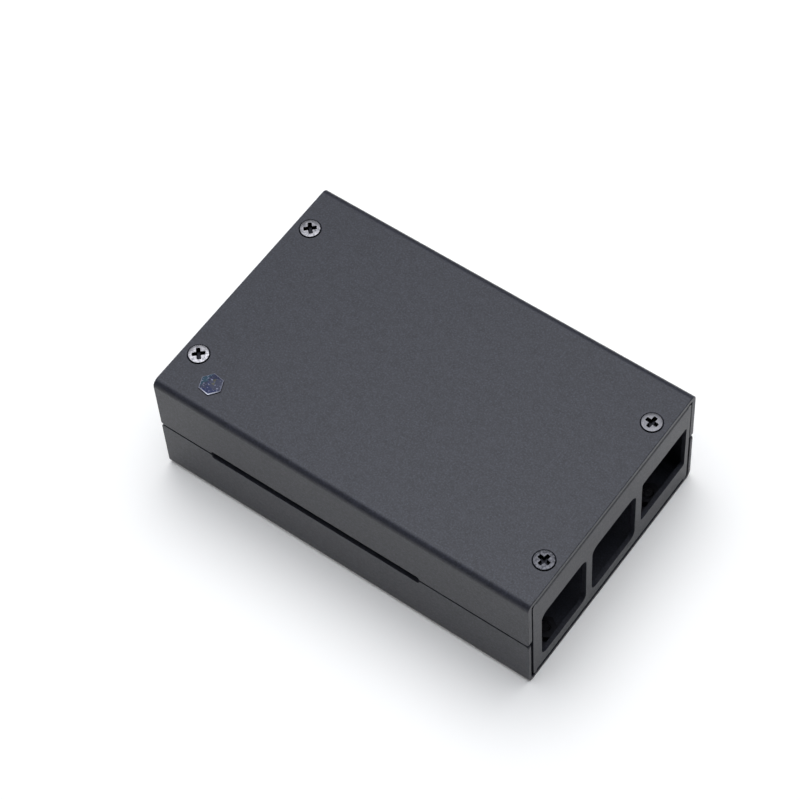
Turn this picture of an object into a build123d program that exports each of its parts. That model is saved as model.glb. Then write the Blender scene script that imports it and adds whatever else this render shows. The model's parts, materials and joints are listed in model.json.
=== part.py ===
"""Folded sheet case for a credit-card-size single-board computer, in millimetres.

The case lies on its plain face, as in the photograph. X runs from the card end to the port end,
Y from the side with the ribbon slot to the side with the power socket, and Z is up. The origin is
the middle of the plain face. The board hangs from the upper shell, its sockets facing down.
"""

import os
from math import radians, tan

from build123d import *

os.makedirs("parts", exist_ok=True)

# The closed case
case_length = 94.0
case_width = 60.5
case_height = 31.6
seam_height = 15.6  # middle of the seam between the two shells
seam_gap = 0.42
bend_radius = 1.7  # outside radius of the long folds
wall_corner_radius = 0.8  # corners of the side walls, at the seam
edge_break = 0.1  # small bevel that blasting leaves

# The sheet of each folded piece
carrier_sheet = 1.3
cover_sheet = 0.9
plate_sheet = 1.0
plate_bend_radius = 1.2  # outside radius of the flange folds
plate_side_gap = 0.35  # between the plate and the carrier shell's side walls
plate_corner_radius = 0.8
flange_margin = 0.6  # of flange beyond the nuts
flange_end_gap = 1.2  # from the plate's side edge to the end of its flanges

# The board that the case is made for: 85 by 56 mm, with 58 by 49 mm between its holes
board_sheet = 1.5
board_end_room = 6.7  # between the card end's outer face and the board
near_side_room = 1.85  # between the board and the near wall
far_side_room = 0.05  # between the board and the far wall
board_face_height = 21.4  # the face that carries the sockets
hole_edge = 3.5  # from the board's edges to the centres of its first holes
hole_pitch = 58.0  # between holes, along the board

# Places of the sockets along the board's edges
usb_side_distance = 9.5  # from the near edge
usb_middle_offset = 0.4  # of the other pair, from the board's middle
network_place = 9.85  # from the far edge
power_place = 10.6  # this and the next two from the card end
video_place = 32.0
sound_place = 53.5

# Windows in the port end plate
usb_window_width = 16.0
usb_window_drop = 16.4  # below the board's socket face
usb_window_rise = 0.2  # above it
usb_window_radius = 2.0
network_window_width = 16.6
network_window_drop = 13.7
network_window_rise = 0.8
network_window_radius = 0.7

# Windows in the long wall, which start a little above the board's socket face
wall_window_rise = 0.3
wall_window_radius = 0.8
power_window_width = 9.0
power_window_height = 4.4
video_window_width = 15.8
sound_window_width = 7.4
plug_window_height = 6.9  # of the video and sound windows

# Window in the card end plate, above the board's back face
card_window_width = 17.0
card_window_height = 4.6
card_window_radius = 1.5

# Ribbon slot, cut half in each shell
slot_start = 13.5  # from the card end's outer face
slot_length = 53.5
slot_above_seam = 1.15
slot_below_seam = 1.25
slot_corner_radius = 0.7

# Countersunk screws and the nuts welded to the flanges
screw_end_distance = 3.65  # from the short ends
screw_side_distance = 10.9  # from the long sides
screw_thread = 2.5
screw_head = 4.6
screw_rim = 0.4  # height of the head's upright edge
screw_length = 4.0
carrier_sink = 5.0  # across the countersinks, which leave the upper heads a little proud
cover_sink = 5.5  # the lower heads lie level, because the case stands on that face
sink_angle = 90.0
seat_clearance = 0.03  # between a screw and what it passes through
drive_span = 2.8
drive_arm = 0.76
drive_depth = 1.1
drive_taper = 12.0
nut_across = 4.8
nut_height = 1.9
upper_turns = (43.0, 42.0, -4.0, -10.0)  # how far each screw was driven round
lower_turns = (20.0, 65.0, 35.0, 80.0)

# Board pillars
pillar_across = 5.0
pillar_bore = 2.05  # core of the thread
pillar_web = 1.0  # solid metal between the bore and the shell
pillar_chamfer = 0.4

# Cut crystal set in a corner of the upper face
crystal_across = 4.7
crystal_clearance = 0.06
crystal_depth = 0.5  # of the pocket, and of the stone below the face
crystal_rise = 0.55  # of the stone above the face
crystal_back = 0.4  # height of its pointed back
crystal_culet = 0.6  # across the blunt point of the back
crystal_crown = 0.2  # height of the slopes on top
crystal_table = 1.8  # across the small flat that they lead to
crystal_bevel = 0.24
crystal_end_distance = 10.5
crystal_side_distance = 6.4
crystal_turn = -8.4

# Places that follow from the sizes above
half_length = case_length / 2
half_width = case_width / 2
carrier_inner = case_height - carrier_sheet
wall_cut = carrier_sheet + cover_sheet  # deep enough to pass either shell's wall
plate_half_width = half_width - carrier_sheet - plate_side_gap
flange_half_width = plate_half_width - flange_end_gap
screw_x = half_length - screw_end_distance
screw_y = half_width - screw_side_distance
cone_slope = tan(radians(sink_angle / 2))  # growth of a countersink's radius with its depth
flange_depth = screw_end_distance + nut_across / 2 + flange_margin
board_end = -half_length + board_end_room
board_side = half_width - carrier_sheet - far_side_room
board_width = case_width - 2 * carrier_sheet - near_side_room - far_side_room
board_middle = board_side - board_width / 2
board_back = board_face_height + board_sheet
first_hole_x = board_end + hole_edge
first_hole_y = board_side - hole_edge


def folded_sheet(plane, corners, radius, sheet, side):
    """Section of a bent sheet whose outer face runs through the given corners."""
    with BuildSketch(plane) as section:
        with BuildLine():
            FilletPolyline(*corners, radius=radius)
            offset(amount=sheet, side=side)
        make_face()
    return section.sketch


def shell_body(outer_z, seam_z, sheet, side):
    """Shell of one sheet, folded along both long edges, its sharp outline broken all round."""
    corners = [
        (-half_width, seam_z),
        (-half_width, outer_z),
        (half_width, outer_z),
        (half_width, seam_z),
    ]
    extrude(folded_sheet(Plane.YZ, corners, bend_radius, sheet, side), amount=half_length, both=True)
    with BuildSketch(Plane.XZ) as side_view:
        with Locations((0, (outer_z + seam_z) / 2)):
            Rectangle(2 * half_length, abs(outer_z - seam_z))
        fillet(vertices().sort_by_distance((0, outer_z))[2:], wall_corner_radius)
    extrude(side_view.sketch, amount=half_width, both=True, mode=Mode.INTERSECT)
    chamfer(faces().filter_by(Axis.X).edges(), edge_break)


def screw_seats(outer_z, outward):
    """Planes on one face of the case where its four screws sit, in order round the face."""
    places = [(-screw_x, -screw_y), (-screw_x, screw_y), (screw_x, screw_y), (screw_x, -screw_y)]
    return [Plane(origin=(x, y, outer_z), x_dir=(1, 0, 0), z_dir=(0, 0, outward)) for x, y in places]


def head_stand(sink_diameter):
    """How far a screw's head stands out of a countersink of that size."""
    return screw_rim - ((sink_diameter - screw_head) / 2 - seat_clearance) / cone_slope


def screw_sinks(seats, sink_diameter):
    """Holes for the screws, countersunk from the outer face."""
    with Locations(*seats):
        CounterSinkHole(
            radius=screw_thread / 2 + seat_clearance,
            counter_sink_radius=sink_diameter / 2,
            counter_sink_angle=sink_angle,
        )


def ribbon_slot():
    """Slot for the ribbon cable, on the seam of the near side wall."""
    height = slot_above_seam + slot_below_seam
    middle = (
        -half_length + slot_start + slot_length / 2,
        seam_height + (slot_above_seam - slot_below_seam) / 2,
    )
    with BuildSketch(Plane.XZ.offset(half_width)) as slot:
        with Locations(middle):
            RectangleRounded(slot_length, height, slot_corner_radius)
    extrude(slot.sketch, amount=-wall_cut, mode=Mode.SUBTRACT)


def wall_window(place, width, height):
    """Window for a socket on the far side wall, its upper edge just above the board's face."""
    middle = (board_end + place, board_face_height + wall_window_rise - height / 2)
    with BuildSketch(Plane.XZ.offset(-half_width)) as window:
        with Locations(middle):
            RectangleRounded(width, height, wall_window_radius)
    extrude(window.sketch, amount=wall_cut, mode=Mode.SUBTRACT)


def plug_windows():
    """Windows for the video and sound sockets, which reach across the seam."""
    wall_window(video_place, video_window_width, plug_window_height)
    wall_window(sound_place, sound_window_width, plug_window_height)


def end_window(end, across, bottom, width, height, radius):
    """Rounded window through the face of an end plate."""
    with BuildSketch(Plane.YZ.offset(end * half_length)) as window:
        with Locations((across, bottom + height / 2)):
            RectangleRounded(width, height, radius)
    extrude(window.sketch, amount=-end * plate_sheet, mode=Mode.SUBTRACT)


def end_plate(end):
    """Plate with a flange folded inward along its upper and lower edge."""
    face = end * half_length
    tip = end * (half_length - flange_depth)
    corners = [(tip, cover_sheet), (face, cover_sheet), (face, carrier_inner), (tip, carrier_inner)]
    side = Side.LEFT if end > 0 else Side.RIGHT
    section = folded_sheet(Plane.XZ, corners, plate_bend_radius, plate_sheet, side)
    extrude(section, amount=flange_half_width, both=True)

    low = cover_sheet + plate_side_gap
    high = carrier_inner - plate_side_gap
    with BuildSketch(Plane.YZ.offset(face)) as outline:
        with Locations((0, (low + high) / 2)):
            RectangleRounded(2 * plate_half_width, high - low, plate_corner_radius)
        with Locations((0, cover_sheet), (0, carrier_inner)):
            Rectangle(2 * flange_half_width, 2 * plate_bend_radius, mode=Mode.SUBTRACT)
    extrude(outline.sketch, amount=-end * plate_sheet)

    for seats, sink_diameter in ((upper_seats, carrier_sink), (lower_seats, cover_sink)):
        screw_sinks([seat for seat in seats if seat.origin.X * end > 0], sink_diameter)


def turned(seat, points):
    """Solid of revolution about the seat's normal, from points given as radius and height."""
    with BuildSketch(Plane(seat.origin, x_dir=seat.x_dir, z_dir=-seat.y_dir)) as half_section:
        with BuildLine():
            Polyline(*points, close=True)
        make_face()
    revolve(half_section.sketch, axis=Axis(seat.origin, seat.z_dir))


def screw_body(seat):
    """Countersunk screw with a cross recess. Its head lies level with the seat."""
    head = screw_head / 2
    shank = screw_thread / 2
    cone_end = -screw_rim - (head - shank) / cone_slope
    turned(seat, [(0, 0), (head, 0), (head, -screw_rim), (shank, cone_end), (shank, -screw_length),
                  (0, -screw_length)])
    with BuildSketch(seat) as drive:
        Rectangle(drive_span, drive_arm)
        Rectangle(drive_arm, drive_span)
    extrude(drive.sketch, amount=-drive_depth, taper=drive_taper, mode=Mode.SUBTRACT)


def nut_body(flange_face):
    """Six-sided nut, one flat towards the end plate's face."""
    with BuildSketch(flange_face) as outline:
        RegularPolygon(nut_across / 2, 6, major_radius=False, rotation=30)
        Circle(screw_thread / 2 + seat_clearance, mode=Mode.SUBTRACT)
    extrude(outline.sketch, amount=-nut_height)


def pillar_body(base):
    """Six-sided pillar welded to the shell, with a blind threaded bore in its free end."""
    height = carrier_inner - board_back
    with BuildSketch(base) as outline:
        RegularPolygon(pillar_across / 2, 6, major_radius=False)
    extrude(outline.sketch, amount=height)
    chamfer(faces().sort_by(Axis.Z)[0].outer_wire().edges(), pillar_chamfer)
    with Locations(base.offset(height)):
        Hole(pillar_bore / 2, depth=height - pillar_web)


def crystal_body(face):
    """Cut crystal: a blunt pointed back, an upright rim, a bevel and a low six-sided crown."""
    with BuildSketch(face.offset(-crystal_depth)) as outline:
        RegularPolygon(crystal_across / 2, 6, major_radius=False)
    extrude(outline.sketch, amount=crystal_depth + crystal_rise)
    back = faces().sort_by(Axis.Z)[0]
    chamfer(back.edges(), (crystal_across - crystal_culet) / 2, crystal_back, reference=back)
    front = faces().sort_by(Axis.Z)[-1]
    chamfer(front.edges(), (crystal_across - crystal_table) / 2, crystal_crown, reference=front)
    shoulder = case_height + crystal_rise - crystal_crown
    chamfer(edges().filter_by_position(Axis.Z, shoulder, shoulder), crystal_bevel)


def save(piece, name):
    """Label a finished piece and write it under its own name."""
    piece.part.label = name
    export_step(piece.part, f"parts/{name}.step")


upper_seats = screw_seats(case_height, 1)
lower_seats = screw_seats(0, -1)
crystal_face = Plane(
    origin=(crystal_end_distance - half_length, crystal_side_distance - half_width, case_height),
    z_dir=(0, 0, 1),
).rotated((0, 0, crystal_turn))

# Upper shell, which carries the board, the screws in view and the crystal
with BuildPart() as carrier_shell:
    shell_body(case_height, seam_height + seam_gap / 2, carrier_sheet, Side.RIGHT)
    ribbon_slot()
    plug_windows()
    wall_window(power_place, power_window_width, power_window_height)
    screw_sinks(upper_seats, carrier_sink)
    with BuildSketch(crystal_face) as pocket:
        RegularPolygon(crystal_across / 2 + crystal_clearance, 6, major_radius=False)
    extrude(pocket.sketch, amount=-crystal_depth, mode=Mode.SUBTRACT)
save(carrier_shell, "carrier_shell")

# Lower shell, which closes the case and stands on its plain face
with BuildPart() as cover_shell:
    shell_body(0, seam_height - seam_gap / 2, cover_sheet, Side.LEFT)
    ribbon_slot()
    plug_windows()
    screw_sinks(lower_seats, cover_sink)
save(cover_shell, "cover_shell")

# End plate with windows for two pairs of stacked sockets and the network socket
with BuildPart() as port_end_plate:
    end_plate(1)
    for across in (board_middle - usb_middle_offset, board_side - board_width + usb_side_distance):
        end_window(1, across, board_face_height - usb_window_drop, usb_window_width,
                   usb_window_drop + usb_window_rise, usb_window_radius)
    end_window(1, board_side - network_place, board_face_height - network_window_drop,
               network_window_width, network_window_drop + network_window_rise, network_window_radius)
save(port_end_plate, "port_end_plate")

# End plate with the window for the memory card, which sits on the board's back
with BuildPart() as card_end_plate:
    end_plate(-1)
    end_window(-1, board_middle, board_back, card_window_width, card_window_height, card_window_radius)
save(card_end_plate, "card_end_plate")

# Screws and nuts of both faces
for shell, seats, sheet, sink_diameter, turns in (
    ("carrier", upper_seats, carrier_sheet, carrier_sink, upper_turns),
    ("cover", lower_seats, cover_sheet, cover_sink, lower_turns),
):
    for number, (seat, turn) in enumerate(zip(seats, turns), start=1):
        with BuildPart() as screw:
            screw_body(seat.offset(head_stand(sink_diameter)).rotated((0, 0, turn)))
        save(screw, f"{shell}_screw_{number}")
        with BuildPart() as nut:
            nut_body(seat.offset(-sheet - plate_sheet))
        save(nut, f"{shell}_nut_{number}")

# Pillars that the board is screwed to
pillar_places = [
    (first_hole_x + along, first_hole_y - across)
    for along in (0, hole_pitch)
    for across in (0, board_width - 2 * hole_edge)
]
for number, (x, y) in enumerate(pillar_places, start=1):
    with BuildPart() as pillar:
        pillar_body(Plane(origin=(x, y, carrier_inner), x_dir=(1, 0, 0), z_dir=(0, 0, -1)))
    save(pillar, f"board_pillar_{number}")

with BuildPart() as cut_crystal:
    crystal_body(crystal_face)
save(cut_crystal, "cut_crystal")
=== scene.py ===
import json
from math import cos, pi, radians, sin, tau

import bmesh
import bpy
from mathutils import Matrix, Vector

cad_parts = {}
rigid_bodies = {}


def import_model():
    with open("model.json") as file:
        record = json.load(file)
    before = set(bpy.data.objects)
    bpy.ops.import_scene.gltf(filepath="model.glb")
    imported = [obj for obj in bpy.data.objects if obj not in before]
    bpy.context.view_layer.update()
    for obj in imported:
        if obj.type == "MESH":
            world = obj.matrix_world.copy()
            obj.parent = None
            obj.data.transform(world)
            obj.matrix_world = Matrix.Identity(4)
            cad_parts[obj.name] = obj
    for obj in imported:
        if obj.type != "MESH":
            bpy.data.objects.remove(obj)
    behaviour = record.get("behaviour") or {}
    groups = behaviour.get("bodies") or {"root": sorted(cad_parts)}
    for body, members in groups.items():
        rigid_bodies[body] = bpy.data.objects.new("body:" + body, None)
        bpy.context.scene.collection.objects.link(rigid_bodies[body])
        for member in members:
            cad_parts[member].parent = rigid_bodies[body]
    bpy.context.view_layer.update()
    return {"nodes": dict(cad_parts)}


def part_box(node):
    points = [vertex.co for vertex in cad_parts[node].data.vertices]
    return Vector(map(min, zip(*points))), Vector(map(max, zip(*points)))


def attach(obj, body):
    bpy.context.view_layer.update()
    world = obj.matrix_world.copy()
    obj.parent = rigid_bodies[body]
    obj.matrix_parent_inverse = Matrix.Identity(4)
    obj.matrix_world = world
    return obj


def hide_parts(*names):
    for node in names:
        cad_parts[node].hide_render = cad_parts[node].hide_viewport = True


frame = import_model()
nodes = frame["nodes"]
mm = 0.001
noiseLow = 0.3  # nearly all values of a noise texture lie between these two
noiseHigh = 0.7
print("frame loaded:", len(nodes), "nodes")


# Small helpers

def linear(hexColour):
    # from sRGB hex to the linear values that a shader takes
    channels = [int(hexColour[i:i + 2], 16) / 255 for i in (1, 3, 5)]
    values = [c / 12.92 if c <= 0.04045 else ((c + 0.055) / 1.055) ** 2.4 for c in channels]
    return tuple(values) + (1.0,)


def addNode(tree, kind, inputs=None, **settings):
    # inputs are values, or sockets to link, by the socket's name or number
    node = tree.nodes.new(kind)
    for name, value in settings.items():
        setattr(node, name, value)
    for key, value in (inputs or {}).items():
        if isinstance(value, bpy.types.NodeSocket):
            tree.links.new(value, node.inputs[key])
        else:
            node.inputs[key].default_value = value
    return node


def emptyTree(owner):
    owner.use_nodes = True
    owner.node_tree.nodes.clear()
    return owner.node_tree


def spotScale(size):
    # a noise texture's scale for spots of about this many millimetres
    return 1 / (size * mm)


def dress(material, *names):
    for name in names:
        slots = nodes[name].data.materials
        slots.clear()
        slots.append(material)


# Camera, at the photograph's view

cameraView = {
    "azimuth": 39.983,
    "elevation": 57.384,
    "roll": -4.88,
    "distance": 597.32,
    "aimPoint": (-8.122, 2.191, 16.994),
    "lens": 127.54,
    "sensor": 36.0,
    "nearest": 0.01,  # metres, what the camera sees
    "farthest": 20.0,
}


def addCamera(view):
    azimuth = radians(view["azimuth"])
    elevation = radians(view["elevation"])
    back = Vector((sin(azimuth) * cos(elevation), -cos(azimuth) * cos(elevation), sin(elevation)))
    camera = bpy.data.objects.new("photoCamera", bpy.data.cameras.new("photoCamera"))
    bpy.context.scene.collection.objects.link(camera)
    camera.data.lens = view["lens"]
    camera.data.sensor_width = view["sensor"]
    camera.data.clip_start = view["nearest"]
    camera.data.clip_end = view["farthest"]
    camera.rotation_euler = (-back).to_track_quat("-Z", "Y").to_euler()
    camera.rotation_euler.rotate_axis("Z", radians(view["roll"]))
    camera.location = (Vector(view["aimPoint"]) + back * view["distance"]) * mm
    bpy.context.scene.camera = camera


addCamera(cameraView)
print("camera placed")


# Floor and light: a matt, nearly white floor under a bright soft ceiling, in a dark room

studio = {
    "floorSize": 6.0,  # metres
    "floorDrop": 0.02,  # below the case, so that their two faces don't lie in one plane
    "floorColour": "#f9f7f1",
    "floorLift": 0.1,  # light added where the camera or a reflection sees the floor
    "softboxAim": (-0.09, 0.12, 0.99),  # towards the middle of the bright ceiling
    "ceilingColour": "#f1f5ff",
    "ceiling": 3.05,  # how bright its middle is
    "room": 0.1,  # how bright everything round it is
    "ceilingEdge": 0.9,  # cosines of the angles from that middle between which it gets dark
    "roomEdge": 0.79,
    "lampPlace": (-150, 250, 950),
    "lampSize": 700,
    "lampPower": 2.0,
}


def addFloor(sizes):
    half = sizes["floorSize"] / 2
    corners = [(-half, -half, 0), (half, -half, 0), (half, half, 0), (-half, half, 0)]
    mesh = bpy.data.meshes.new("floor")
    mesh.from_pydata(corners, [], [(0, 1, 2, 3)])
    floor = bpy.data.objects.new("floor", mesh)
    floor.location.z = -sizes["floorDrop"] * mm
    bpy.context.scene.collection.objects.link(floor)

    material = bpy.data.materials.new("pale floor")
    tree = emptyTree(material)
    paths = addNode(tree, "ShaderNodeLightPath").outputs
    seen = addNode(tree, "ShaderNodeMath", {
        0: paths["Is Camera Ray"], 1: paths["Is Glossy Ray"]}, operation="ADD")
    seen = addNode(tree, "ShaderNodeMath", {
        0: seen.outputs[0], 1: paths["Is Transmission Ray"]}, operation="ADD")
    lift = addNode(tree, "ShaderNodeMath", {
        0: seen.outputs[0], 1: sizes["floorLift"]}, operation="MULTIPLY")
    matt = addNode(tree, "ShaderNodeBsdfDiffuse", {"Color": linear(sizes["floorColour"])})
    glow = addNode(tree, "ShaderNodeEmission", {"Strength": lift.outputs[0]})
    both = addNode(tree, "ShaderNodeAddShader", {0: matt.outputs[0], 1: glow.outputs[0]})
    addNode(tree, "ShaderNodeOutputMaterial", {"Surface": both.outputs[0]})
    mesh.materials.append(material)


def addSky(sizes):
    world = bpy.data.worlds.new("studio")
    bpy.context.scene.world = world
    tree = emptyTree(world)
    direction = addNode(tree, "ShaderNodeTexCoord").outputs["Generated"]
    aim = Vector(sizes["softboxAim"]).normalized()
    nearness = addNode(tree, "ShaderNodeVectorMath", {0: direction, 1: aim}, operation="DOT_PRODUCT")
    strength = addNode(tree, "ShaderNodeMapRange", {
        "Value": nearness.outputs["Value"],
        "From Min": sizes["roomEdge"],
        "From Max": sizes["ceilingEdge"],
        "To Min": sizes["room"],
        "To Max": sizes["ceiling"],
    }, interpolation_type="SMOOTHSTEP")
    sky = addNode(tree, "ShaderNodeBackground", {
        "Color": linear(sizes["ceilingColour"]), "Strength": strength.outputs[0]})
    addNode(tree, "ShaderNodeOutputWorld", {"Surface": sky.outputs[0]})


def addLamp(name, place, size, power):
    # a round lamp that shines towards the case
    lamp = bpy.data.objects.new(name, bpy.data.lights.new(name, "AREA"))
    lamp.data.shape = "DISK"
    lamp.data.size = size * mm
    lamp.data.energy = power
    lamp.location = Vector(place) * mm
    lamp.rotation_euler = (-lamp.location).to_track_quat("-Z", "Y").to_euler()
    bpy.context.scene.collection.objects.link(lamp)


addFloor(studio)
addSky(studio)
addLamp("keyLamp", studio["lampPlace"], studio["lampSize"], studio["lampPower"])
print("floor and light placed")


# Shells and end plates in black anodised aluminium, bead blasted before it was dyed:
# nearly black, with a broad soft gloss, a fine grain with painted sparkle on its tops, and faint clouds
# where the dye took unevenly

shellFinish = {
    "dark": "#0f0f15",  # most dye
    "light": "#33343b",  # least dye
    "paintedSparkle": "#353741",  # painted sparkle: the tops of the grain made lighter, standing for glints off them
    "sparkleFrom": 0.46,  # values of the grit's noise where the painted sparkle begins and where it is full
    "sparkleFull": 0.8,
    "cloudSize": 1.8,
    "gritSize": 0.38,  # the real grain is under 0.1 mm, and this is as coarse as it needs to show
    "gritDepth": 0.006,
    "gritStrength": 0.5,
    "hollowRoughness": 0.45,
    "topRoughness": 0.39,
    "IOR": 1.39,  # lowered from the oxide's 1.6 or so, to match the real one's weak gloss
}


def blastedAnodisedAluminium(finish):
    material = bpy.data.materials.new("blasted black anodised aluminium")
    tree = emptyTree(material)
    place = addNode(tree, "ShaderNodeTexCoord").outputs["Object"]
    cloud = addNode(tree, "ShaderNodeTexNoise", {
        "Vector": place, "Scale": spotScale(finish["cloudSize"]), "Detail": 3.0, "Roughness": 0.9})
    grit = addNode(tree, "ShaderNodeTexNoise", {
        "Vector": place, "Scale": spotScale(finish["gritSize"]), "Detail": 1.5, "Roughness": 0.6})
    dye = addNode(tree, "ShaderNodeMix", {
        "Factor": cloud.outputs["Fac"],
        6: linear(finish["dark"]),
        7: linear(finish["light"]),
    }, data_type="RGBA")
    # painted sparkle: where the grit's noise is high the colour turns lighter, standing for glints off the
    # grain
    paintedSparkle = addNode(tree, "ShaderNodeMapRange", {
        "Value": grit.outputs["Fac"],
        "From Min": finish["sparkleFrom"],
        "From Max": finish["sparkleFull"],
    })
    colour = addNode(tree, "ShaderNodeMix", {
        "Factor": paintedSparkle.outputs[0],
        6: dye.outputs[2],
        7: linear(finish["paintedSparkle"]),
    }, data_type="RGBA")
    roughness = addNode(tree, "ShaderNodeMapRange", {
        "Value": grit.outputs["Fac"],
        "From Min": noiseLow,
        "From Max": noiseHigh,
        "To Min": finish["hollowRoughness"],
        "To Max": finish["topRoughness"],
    })
    bump = addNode(tree, "ShaderNodeBump", {
        "Strength": finish["gritStrength"],
        "Distance": finish["gritDepth"] * mm,
        "Height": grit.outputs["Fac"],
    })
    shader = addNode(tree, "ShaderNodeBsdfPrincipled", {
        "Base Color": colour.outputs[2],
        "Roughness": roughness.outputs[0],
        "IOR": finish["IOR"],
        "Normal": bump.outputs[0],
    })
    addNode(tree, "ShaderNodeOutputMaterial", {"Surface": shader.outputs[0]})
    return material


dress(
    blastedAnodisedAluminium(shellFinish),
    "carrier_shell", "cover_shell", "port_end_plate", "card_end_plate",
)
print("shells and end plates finished")


# Machine screws in steel with a thin black nickel plate: black in the recess and round the edge, partly the
# plate where nothing has rubbed it and partly painted shade, and a smoky blotched mirror on the worn face

screwSizes = {
    "rimHeight": 0.4,
    "edgeRound": 0.15,
    "shankDiameter": 2.5,
    "threadPitch": 0.45,
    "threadDepth": 0.24,
    "threadStart": 1.75,  # below the head's face
    "threadMargin": 0.01,  # leaves the thread's first and last ring round
    "threadRows": 8,  # in one pitch
    "tipBevel": 0.25,
    "recessSpan": 2.9,
    "recessArm": 0.94,
    "recessCorner": 0.2,
    "recessSteps": 4,  # in one rounded corner
    "recessDepth": 1.1,
    "recessFootSpan": 2.2,
    "recessFootArm": 0.6,
    "segments": 48,
    "creaseAngle": 32,  # degrees, past which an edge stays sharp
    "turns": {"carrier": (43, 42, -4, -10), "cover": (20, 65, 35, 80)},  # degrees, as the solids have them
    "wear": {"carrier": (1.0, 0.64, 0.3, 0.0), "cover": (0.6, 0.3, 0.8, 0.5)},  # of each head's face
    "shankPlate": 0.5,  # how much of the black plate the shank keeps
}
screwFinish = {
    # the black plate, also the painted shade in the recess and round the rim
    "plate": "#1a1a1d",
    "smoky": "#2d2d30",  # a face with no wear
    "worn": "#918f90",  # a face with full wear
    "blotch": "#58585b",
    "blotchSize": 0.4,
    "blotchFrom": 0.4,  # values of the noise where a blotch begins and where it is full
    "blotchFull": 0.66,
    "blotchCover": 0.9,  # how much of the face's colour a full blotch hides
    "clearRoughness": 0.24,
    "blotchRoughness": 0.4,
    "blotchDepth": 0.012,
    "blotchStrength": 0.3,
}


def crossOutline(span, arm, corner, arcSteps):
    # a cross with rounded wing ends, as points in order round it
    half = arm / 2
    points = []
    for wing in range(4):
        turn = wing * pi / 2
        local = [(half, -half)]
        for side in (-1, 1):
            for step in range(arcSteps + 1):
                quarters = step / arcSteps - (1 if side < 0 else 0)
                angle = quarters * pi / 2
                local.append((
                    span / 2 - corner + corner * cos(angle),
                    side * (half - corner) + corner * sin(angle),
                ))
        points += [(x * cos(turn) - y * sin(turn), x * sin(turn) + y * cos(turn)) for x, y in local]
    return points


def screwMesh(sizes, headDiameter, length):
    # one screw, its head's face at the origin and its shank running down
    head = headDiameter / 2
    shank = sizes["shankDiameter"] / 2
    rounding = sizes["edgeRound"]
    profile = [
        (head - rounding * (1 - sin(a)), -rounding * (1 - cos(a))) for a in (0, pi / 6, pi / 3, pi / 2)]
    coneFoot = -sizes["rimHeight"] - (head - shank)
    profile += [(head, -sizes["rimHeight"]), (shank, coneFoot)]
    headRows = len(profile) - 1
    threadLength = length - sizes["threadStart"] - sizes["tipBevel"]
    rowCount = int(threadLength / sizes["threadPitch"] * sizes["threadRows"])
    rowStep = threadLength / rowCount
    profile += [(shank, -sizes["threadStart"] - row * rowStep) for row in range(rowCount + 1)]
    profile.append((shank - sizes["tipBevel"], -length))

    bm = bmesh.new()
    unwornAndShaded = bm.faces.layers.float.new("unwornAndShaded")  # how much of the black plate a face keeps; a full value also marks the painted shade in the recess and round the rim
    rings = []
    for radius, height in profile:
        ring = []
        for step in range(sizes["segments"]):
            angle = tau * step / sizes["segments"]
            ring.append(bm.verts.new((radius * cos(angle) * mm, radius * sin(angle) * mm, height * mm)))
        rings.append(ring)
    for row, (upper, lower) in enumerate(zip(rings, rings[1:])):
        for step in range(sizes["segments"]):
            after = (step + 1) % sizes["segments"]
            band = bm.faces.new((upper[step], lower[step], lower[after], upper[after]))
            if row == 0:
                band[unwornAndShaded] = 0.0  # wears as the face does
            elif row < headRows:
                # painted shade: the head's rounded edge, rim and cone are painted fully black, for the dark
                # ring of shadow round the head
                band[unwornAndShaded] = 1.0
            else:
                band[unwornAndShaded] = sizes["shankPlate"]
    bm.faces.new(rings[-1])[unwornAndShaded] = sizes["shankPlate"]

    mouthOutline = crossOutline(
        sizes["recessSpan"], sizes["recessArm"], sizes["recessCorner"], sizes["recessSteps"])
    footOutline = crossOutline(
        sizes["recessFootSpan"], sizes["recessFootArm"], sizes["recessCorner"] / 2, sizes["recessSteps"])
    mouth = [bm.verts.new((x * mm, y * mm, 0)) for x, y in mouthOutline]
    foot = [bm.verts.new((x * mm, y * mm, -sizes["recessDepth"] * mm)) for x, y in footOutline]
    # painted shade: the recess's walls and floor are painted fully black
    for step in range(len(mouth)):
        after = (step + 1) % len(mouth)
        bm.faces.new((mouth[step], mouth[after], foot[after], foot[step]))[unwornAndShaded] = 1.0
    bm.faces.new(foot)[unwornAndShaded] = 1.0
    rim = [bm.edges.get((a, b)) for a, b in zip(rings[0], rings[0][1:] + rings[0][:1])]
    cross = [bm.edges.get((a, b)) for a, b in zip(mouth, mouth[1:] + mouth[:1])]
    bmesh.ops.triangle_fill(bm, edges=rim + cross, use_beauty=True)
    bmesh.ops.recalc_face_normals(bm, faces=bm.faces[:])
    crease = radians(sizes["creaseAngle"])
    for face in bm.faces:
        face.smooth = True
    for edge in bm.edges:
        edge.smooth = len(edge.link_faces) == 2 and edge.calc_face_angle() < crease
    mesh = bpy.data.meshes.new("screwBody")
    bm.to_mesh(mesh)
    bm.free()
    return mesh


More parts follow.
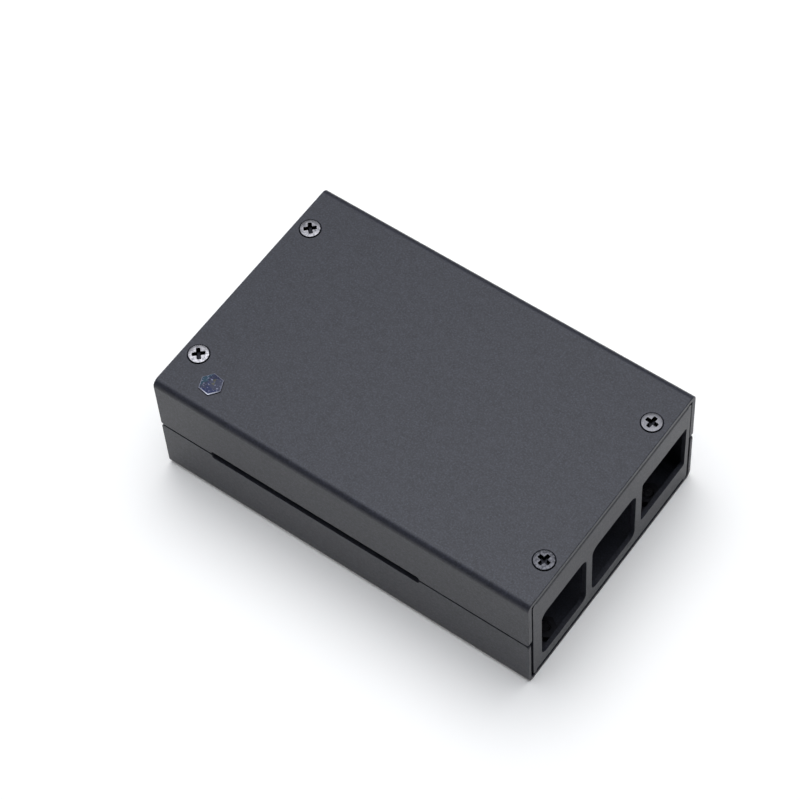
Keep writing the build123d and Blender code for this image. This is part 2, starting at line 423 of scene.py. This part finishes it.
def screwTree(material):
    # places a screw on each seat point and cuts its thread by moving the shank's surface inward
    tree = bpy.data.node_groups.new("screwsOnSeats", "GeometryNodeTree")
    face = tree.interface
    face.new_socket("Seats", in_out="INPUT", socket_type="NodeSocketGeometry")
    face.new_socket("Screw", in_out="INPUT", socket_type="NodeSocketObject")
    for name in ("Thread Pitch", "Thread Depth", "Thread Start", "Thread End"):
        face.new_socket(name, in_out="INPUT", socket_type="NodeSocketFloat")
    face.new_socket("Screws", in_out="OUTPUT", socket_type="NodeSocketGeometry")
    given = addNode(tree, "NodeGroupInput").outputs

    body = addNode(tree, "GeometryNodeObjectInfo", {"Object": given["Screw"]}).outputs["Geometry"]
    place = addNode(tree, "GeometryNodeInputPosition").outputs[0]
    axes = addNode(tree, "ShaderNodeSeparateXYZ", {0: place}).outputs
    angle = addNode(tree, "ShaderNodeMath", {0: axes["Y"], 1: axes["X"]}, operation="ARCTAN2")
    turns = addNode(tree, "ShaderNodeMath", {0: angle.outputs[0], 1: tau}, operation="DIVIDE")
    along = addNode(tree, "ShaderNodeMath", {0: axes["Z"], 1: given["Thread Pitch"]}, operation="DIVIDE")
    phase = addNode(tree, "ShaderNodeMath", {
        0: along.outputs[0], 1: turns.outputs[0]}, operation="SUBTRACT")
    wave = addNode(tree, "ShaderNodeMath", {0: phase.outputs[0], 1: 0.5}, operation="PINGPONG")
    depth = addNode(tree, "ShaderNodeMath", {
        0: wave.outputs[0], 1: given["Thread Depth"]}, operation="MULTIPLY")
    # the wave runs from 0 to 0.5, so minus twice the product goes inward by the whole depth
    inward = addNode(tree, "ShaderNodeMath", {0: depth.outputs[0], 1: -2.0}, operation="MULTIPLY")
    flat = addNode(tree, "ShaderNodeCombineXYZ", {"X": axes["X"], "Y": axes["Y"], "Z": 0.0})
    outward = addNode(tree, "ShaderNodeVectorMath", {0: flat.outputs[0]}, operation="NORMALIZE")
    move = addNode(tree, "ShaderNodeVectorMath", {
        0: outward.outputs[0], "Scale": inward.outputs[0]}, operation="SCALE")
    below = addNode(tree, "ShaderNodeMath", {
        0: axes["Z"], 1: given["Thread Start"]}, operation="LESS_THAN")
    above = addNode(tree, "ShaderNodeMath", {
        0: axes["Z"], 1: given["Thread End"]}, operation="GREATER_THAN")
    threaded = addNode(tree, "ShaderNodeMath", {
        0: below.outputs[0], 1: above.outputs[0]}, operation="MULTIPLY")
    cut = addNode(tree, "GeometryNodeSetPosition", {
        "Geometry": body, "Selection": threaded.outputs[0], "Offset": move.outputs[0]})

    facing = addNode(tree, "GeometryNodeInputNamedAttribute", {"Name": "facing"}, data_type="FLOAT_VECTOR")
    turned = addNode(tree, "FunctionNodeEulerToRotation", {0: facing.outputs[0]})
    placed = addNode(tree, "GeometryNodeInstanceOnPoints", {
        "Points": given["Seats"], "Instance": cut.outputs[0], "Rotation": turned.outputs[0]})
    real = addNode(tree, "GeometryNodeRealizeInstances", {0: placed.outputs[0]})
    coated = addNode(tree, "GeometryNodeSetMaterial", {"Geometry": real.outputs[0], "Material": material})
    addNode(tree, "NodeGroupOutput", {0: coated.outputs[0]})
    return tree


def blackNickelPlatedSteel(finish):
    material = bpy.data.materials.new("black nickel plated steel")
    tree = emptyTree(material)
    place = addNode(tree, "ShaderNodeTexCoord").outputs["Object"]
    wear = addNode(tree, "ShaderNodeAttribute", attribute_name="wear").outputs["Fac"]
    unwornAndShaded = addNode(tree, "ShaderNodeAttribute", attribute_name="unwornAndShaded").outputs["Fac"]
    blotch = addNode(tree, "ShaderNodeTexNoise", {
        "Vector": place, "Scale": spotScale(finish["blotchSize"]), "Detail": 3.0, "Roughness": 0.6})
    headFace = addNode(tree, "ShaderNodeMix", {
        "Factor": wear,
        6: linear(finish["smoky"]),
        7: linear(finish["worn"]),
    }, data_type="RGBA")
    cover = addNode(tree, "ShaderNodeMapRange", {
        "Value": blotch.outputs["Fac"],
        "From Min": finish["blotchFrom"],
        "From Max": finish["blotchFull"],
        "To Max": finish["blotchCover"],
    })
    blotched = addNode(tree, "ShaderNodeMix", {
        "Factor": cover.outputs[0],
        6: headFace.outputs[2],
        7: linear(finish["blotch"]),
    }, data_type="RGBA")
    # faces marked so take the black plate's colour, which is also the painted shade in the recess and round
    # the rim
    colour = addNode(tree, "ShaderNodeMix", {
        "Factor": unwornAndShaded,
        6: blotched.outputs[2],
        7: linear(finish["plate"]),
    }, data_type="RGBA")
    roughness = addNode(tree, "ShaderNodeMapRange", {
        "Value": blotch.outputs["Fac"],
        "From Min": noiseLow,
        "From Max": noiseHigh,
        "To Min": finish["clearRoughness"],
        "To Max": finish["blotchRoughness"],
    })
    bump = addNode(tree, "ShaderNodeBump", {
        "Strength": finish["blotchStrength"],
        "Distance": finish["blotchDepth"] * mm,
        "Height": blotch.outputs["Fac"],
    })
    shader = addNode(tree, "ShaderNodeBsdfPrincipled", {
        "Base Color": colour.outputs[2],
        "Metallic": 1.0,
        "Roughness": roughness.outputs[0],
        "Normal": bump.outputs[0],
    })
    addNode(tree, "ShaderNodeOutputMaterial", {"Surface": shader.outputs[0]})
    return material


def addScrews(sizes, finish):
    seats, facings, wears = [], [], []
    for shell, outward in (("carrier", 1), ("cover", -1)):
        for number in range(4):
            low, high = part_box(f"{shell}_screw_{number + 1}")
            seats.append(((low.x + high.x) / 2, (low.y + high.y) / 2, high.z if outward > 0 else low.z))
            turn = radians(sizes["turns"][shell][number])
            facings += [0, 0, turn] if outward > 0 else [pi, 0, -turn]
            wears.append(sizes["wear"][shell][number])
    headDiameter = (high.x - low.x) / mm  # of the last one, and all eight are alike
    length = (high.z - low.z) / mm

    points = bpy.data.meshes.new("screwSeats")
    points.from_pydata(seats, [], [])
    points.attributes.new("facing", "FLOAT_VECTOR", "POINT").data.foreach_set("vector", facings)
    points.attributes.new("wear", "FLOAT", "POINT").data.foreach_set("value", wears)
    holder = bpy.data.objects.new("screwSeats", points)
    pattern = bpy.data.objects.new("screwBody", screwMesh(sizes, headDiameter, length))
    scene = bpy.context.scene.collection.objects
    scene.link(holder)
    scene.link(pattern)

    grow = holder.modifiers.new("screws", "NODES")
    grow.node_group = screwTree(blackNickelPlatedSteel(finish))
    sockets = {item.name: item.identifier for item in grow.node_group.interface.items_tree}
    margin = sizes["threadMargin"]
    grow[sockets["Screw"]] = pattern
    grow[sockets["Thread Pitch"]] = sizes["threadPitch"] * mm
    grow[sockets["Thread Depth"]] = sizes["threadDepth"] * mm
    grow[sockets["Thread Start"]] = -(sizes["threadStart"] + margin) * mm
    grow[sockets["Thread End"]] = -(length - sizes["tipBevel"] - margin) * mm
    holder.update_tag()
    grown = holder.evaluated_get(bpy.context.evaluated_depsgraph_get())
    mesh = bpy.data.meshes.new_from_object(grown)
    mesh.name = "machine_screws"
    holder.modifiers.remove(grow)
    for spent in (holder, pattern):
        bpy.data.objects.remove(spent)
    screws = bpy.data.objects.new("machine_screws", mesh)
    scene.link(screws)
    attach(screws, "root")
    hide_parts(*[f"{shell}_screw_{n}" for shell in ("carrier", "cover") for n in (1, 2, 3, 4)])
    print("screws made:", len(mesh.polygons), "faces")


addScrews(screwSizes, screwFinish)


# Nuts in steel with a black oxide coat, and pillars in bare aluminium: the nuts dark and satin, the pillars
# pale and a little brighter, both slightly mottled, with the fine rings of the turning tool

nutFinish = {
    "colour": "#3a3a3d",
    "blotch": "#2b2b2e",
    "blotchSize": 0.9,
    "grooveWidth": 0.12,
    "grooveWobble": 1.5,
    "grooveDepth": 0.01,
    "grooveStrength": 0.3,
    "roughness": 0.45,
}
pillarFinish = {
    "colour": "#c4c5c6",
    "blotch": "#a3a5a7",
    "blotchSize": 0.9,
    "grooveWidth": 0.12,
    "grooveWobble": 1.5,
    "grooveDepth": 0.01,
    "grooveStrength": 0.3,
    "roughness": 0.3,
}


def turnedMetal(name, finish):
    material = bpy.data.materials.new(name)
    tree = emptyTree(material)
    place = addNode(tree, "ShaderNodeTexCoord").outputs["Object"]
    blotch = addNode(tree, "ShaderNodeTexNoise", {
        "Vector": place, "Scale": spotScale(finish["blotchSize"]), "Detail": 3.0})
    colour = addNode(tree, "ShaderNodeMix", {
        "Factor": blotch.outputs["Fac"],
        6: linear(finish["colour"]),
        7: linear(finish["blotch"]),
    }, data_type="RGBA")
    groove = addNode(tree, "ShaderNodeTexWave", {
        "Vector": place,
        "Scale": spotScale(finish["grooveWidth"]) / tau,  # a groove, and a ridge, are about that wide
        "Distortion": finish["grooveWobble"],
    }, bands_direction="Z")
    bump = addNode(tree, "ShaderNodeBump", {
        "Strength": finish["grooveStrength"],
        "Distance": finish["grooveDepth"] * mm,
        "Height": groove.outputs["Fac"],
    })
    shader = addNode(tree, "ShaderNodeBsdfPrincipled", {
        "Base Color": colour.outputs[2],
        "Metallic": 1.0,
        "Roughness": finish["roughness"],
        "Normal": bump.outputs[0],
    })
    addNode(tree, "ShaderNodeOutputMaterial", {"Surface": shader.outputs[0]})
    return material


blackOxideSteel = turnedMetal("black oxide steel", nutFinish)
turnedAluminium = turnedMetal("turned aluminium", pillarFinish)
dress(blackOxideSteel, *[f"{shell}_nut_{n}" for shell in ("carrier", "cover") for n in (1, 2, 3, 4)])
dress(turnedAluminium, *[f"board_pillar_{n}" for n in (1, 2, 3, 4)])
print("nuts and pillars finished")


# Cut crystal over a dark foil: flat facets in indigo, teal and slate under a polished gloss, their tints
# partly the stone's own blue and partly painted internal reflections, with a painted highlight along the
# pale edge, a painted glint at one corner, a side painted dark as shadow, and small painted sparks

crystalSizes = {
    "across": 4.7,
    "turn": -8.4,  # degrees, as the solid has it
    "edgeDrop": 0.3,  # from the table down to the upright side
    "bevel": 0.2,
    "bevelDrop": 0.14,
    "middleRadius": 1.6,
    "middleDrop": 0.07,
    "tableRadius": 0.85,
    "backRadius": 0.35,
    "backRise": 0.4,  # from the blunt back up to the upright side
    "glintCorner": 5,
}
crystalFinish = {
    # painted shade: the upright side is near black, for the line of shadow round the stone's lower edges
    "side": "#0c0d12",
    # painted highlight: the bevel's pale colour stands for light caught along the stone's edge
    "edge": "#7c7d88",
    # painted highlight at the glint corner
    "glint": "#f2f4ff",
    # the facets' tints: partly the stone's own blue and partly painted internal reflections
    "indigo": "#17224a",
    "teal": "#374b57",
    "slate": "#333649",
    "straw": "#4d4c40",
    # painted glints: small light sparks over the facets
    "spark": "#8c8fa2",
    "sparkSize": 0.4,
    "sparkFrom": 0.6,  # values of the noise where a spark begins and where it is full
    "sparkFull": 0.72,
    "sparkCover": 0.8,  # how much of the facet's colour a full spark hides
    "roughness": 0.12,
    "IOR": 1.21,  # lowered from glass's 1.5, because the facets glared more than the real ones
}


def crystalRing(bm, radius, height, turn):
    angles = [radians(turn) + tau * step / 6 for step in range(6)]
    return [bm.verts.new((radius * cos(a) * mm, radius * sin(a) * mm, height * mm)) for a in angles]


def crystalMesh(sizes, finish, depth):
    # rings from the blunt back up to the table, the middle one turned by half a facet
    bm = bmesh.new()
    paint = bm.loops.layers.float_color.new("facetColourAndPaintedLight")
    radius = sizes["across"] / 2 / cos(pi / 6)
    back = crystalRing(bm, sizes["backRadius"], -depth, 0)
    belly = crystalRing(bm, radius, sizes["backRise"] - depth, 0)
    brim = crystalRing(bm, radius, -sizes["edgeDrop"], 0)
    bevel = crystalRing(bm, radius - sizes["bevel"], sizes["bevelDrop"] - sizes["edgeDrop"], 0)
    middle = crystalRing(bm, sizes["middleRadius"], -sizes["middleDrop"], 30)
    table = crystalRing(bm, sizes["tableRadius"], 0, 0)
    centre = bm.verts.new((0, 0, 0))
    glinting = (brim[sizes["glintCorner"]], bevel[sizes["glintCorner"]])

    def facet(corners, colourName):
        face = bm.faces.new(corners)
        for loop in face.loops:
            # the bevel's corners at the glint corner get the painted highlight, the rest of the bevel the
            # paler painted edge highlight
            bright = colourName == "edge" and loop.vert in glinting
            loop[paint] = linear(finish["glint" if bright else colourName])

    # painted reflection: the tints, given facet by facet, are partly the stone's own blue and partly its
    # internal reflections painted in
    outer = ("slate", "slate", "teal", "teal", "indigo", "indigo")
    inner = ("slate", "slate", "teal", "slate", "indigo", "slate")
    core = ("slate", "straw", "slate", "slate", "indigo", "slate")
    # the back and the upright side take the painted shade
    facet(back[::-1], "side")
    for step in range(6):
        after = (step + 1) % 6
        facet((back[step], back[after], belly[after], belly[step]), "side")
        facet((belly[step], belly[after], brim[after], brim[step]), "side")
        facet((brim[step], brim[after], bevel[after], bevel[step]), "edge")
        facet((bevel[step], bevel[after], middle[step]), outer[step])
        facet((bevel[after], middle[after], middle[step]), inner[step])
        facet((middle[step], middle[after], table[after]), inner[step])
        facet((middle[step], table[after], table[step]), core[step])
        facet((table[step], table[after], centre), core[after])
    bmesh.ops.recalc_face_normals(bm, faces=bm.faces[:])
    mesh = bpy.data.meshes.new("crystal_facets")
    bm.to_mesh(mesh)
    bm.free()
    return mesh


def foiledCrystal(finish):
    material = bpy.data.materials.new("cut crystal over dark foil")
    tree = emptyTree(material)
    place = addNode(tree, "ShaderNodeTexCoord").outputs["Object"]
    tint = addNode(tree, "ShaderNodeAttribute", attribute_name="facetColourAndPaintedLight").outputs["Color"]
    # painted glints: light sparks laid over the facets' colours
    spark = addNode(tree, "ShaderNodeTexNoise", {
        "Vector": place, "Scale": spotScale(finish["sparkSize"]), "Detail": 1.0})
    lit = addNode(tree, "ShaderNodeMapRange", {
        "Value": spark.outputs["Fac"],
        "From Min": finish["sparkFrom"],
        "From Max": finish["sparkFull"],
        "To Max": finish["sparkCover"],
    })
    colour = addNode(tree, "ShaderNodeMix", {
        "Factor": lit.outputs[0],
        6: tint,
        7: linear(finish["spark"]),
    }, data_type="RGBA")
    shader = addNode(tree, "ShaderNodeBsdfPrincipled", {
        "Base Color": colour.outputs[2],
        "Roughness": finish["roughness"],
        "IOR": finish["IOR"],
    })
    addNode(tree, "ShaderNodeOutputMaterial", {"Surface": shader.outputs[0]})
    return material


def addCrystal(sizes, finish):
    low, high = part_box("cut_crystal")
    mesh = crystalMesh(sizes, finish, (high.z - low.z) / mm)
    seat = Vector(((low.x + high.x) / 2, (low.y + high.y) / 2, high.z))
    mesh.transform(Matrix.Translation(seat) @ Matrix.Rotation(radians(sizes["turn"]), 4, "Z"))
    mesh.materials.append(foiledCrystal(finish))
    crystal = bpy.data.objects.new("crystal_facets", mesh)
    bpy.context.scene.collection.objects.link(crystal)
    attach(crystal, "root")
    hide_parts("cut_crystal")
    print("crystal made:", len(mesh.polygons), "facets")


addCrystal(crystalSizes, crystalFinish)

bpy.context.scene.view_settings.view_transform = "Standard"
